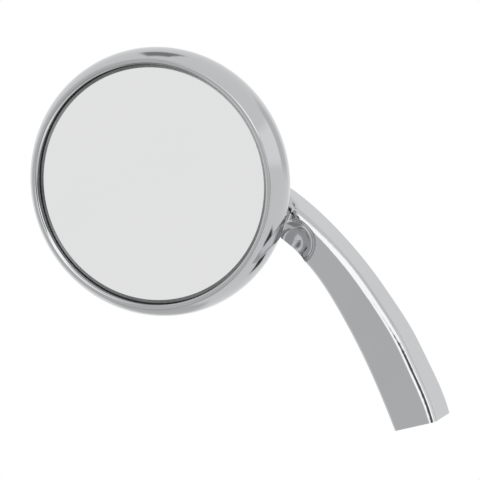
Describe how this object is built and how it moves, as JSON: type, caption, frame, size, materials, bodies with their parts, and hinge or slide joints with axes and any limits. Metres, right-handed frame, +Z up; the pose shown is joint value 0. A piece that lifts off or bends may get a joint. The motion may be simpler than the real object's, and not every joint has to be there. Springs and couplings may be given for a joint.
{
  "type": "rear-view mirror",
  "caption": "Round chrome rear-view mirror: a dished head with an inset glass on a ball joint, carried by a solid curved stem with a threaded hole in its flat base.",
  "frame": {"origin": "centre of the threaded hole's mouth in the flat end of the stem's base", "axes": "+Z up out of the mounting surface, glass faces -Y, the stem climbs towards -X; at rest the head's axis is parallel to Y"},
  "size_m": [0.1266, 0.0479, 0.1637],
  "materials": {
    "stem_chrome": "polished chrome plate",
    "shell_chrome": "polished chrome plate",
    "bezel_chrome": "polished chrome plate",
    "stud_steel": "ground and polished",
    "nut_steel": "bright plated",
    "spring_steel": "plain spring steel",
    "black_steel": "black oxide",
    "screw_steel": "zinc plated",
    "plate_steel": "zinc plated sheet",
    "mirror_glass": "first-surface look, slightly convex",
    "rubber": "matt black",
    "nylon": "natural, moulded",
    "foam": "closed-cell foam",
    "nylon_front": "natural, moulded",
    "cup_metal": "turned"
  },
  "bodies": {
    "stem": {"stem": "stem_chrome", "ball_stud": "stud_steel", "jam_nut": "nut_steel", "lock_washer": "spring_steel", "stud_set_screw": "black_steel", "neck_seal": "rubber"},
    "seat_liner": {"seat_liner": "nylon"},
    "cup_liner": {"cup_liner": "nylon_front"},
    "head": {"head_shell": "shell_chrome", "bezel_ring": "bezel_chrome", "bezel_seal": "rubber", "mirror_glass": "mirror_glass", "glass_gasket": "rubber", "foam_pad": "foam", "backing_plate": "plate_steel", "plate_screws": "screw_steel", "pressure_cup": "cup_metal", "clamp_plate": "plate_steel", "clamp_screws": "screw_steel", "clamp_washers": "screw_steel", "clamp_springs": "spring_steel"}
  },
  "joints": [
    {"name": "head_pan", "type": "hinge", "parent": "stem", "child": "seat_liner", "pos_m": [-0.0676, -0.015, 0.1129], "axis": [0, 0, 1], "range_deg": [-12, 7]},
    {"name": "head_tilt", "type": "hinge", "parent": "seat_liner", "child": "cup_liner", "pos_m": [-0.0676, -0.015, 0.1129], "axis": [1, 0, 0], "range_deg": [-12, 7]},
    {"name": "head_spin", "type": "hinge", "parent": "cup_liner", "child": "head", "pos_m": [-0.0676, -0.015, 0.1129], "axis": [0, 1, 0], "continuous": true}
  ]
}
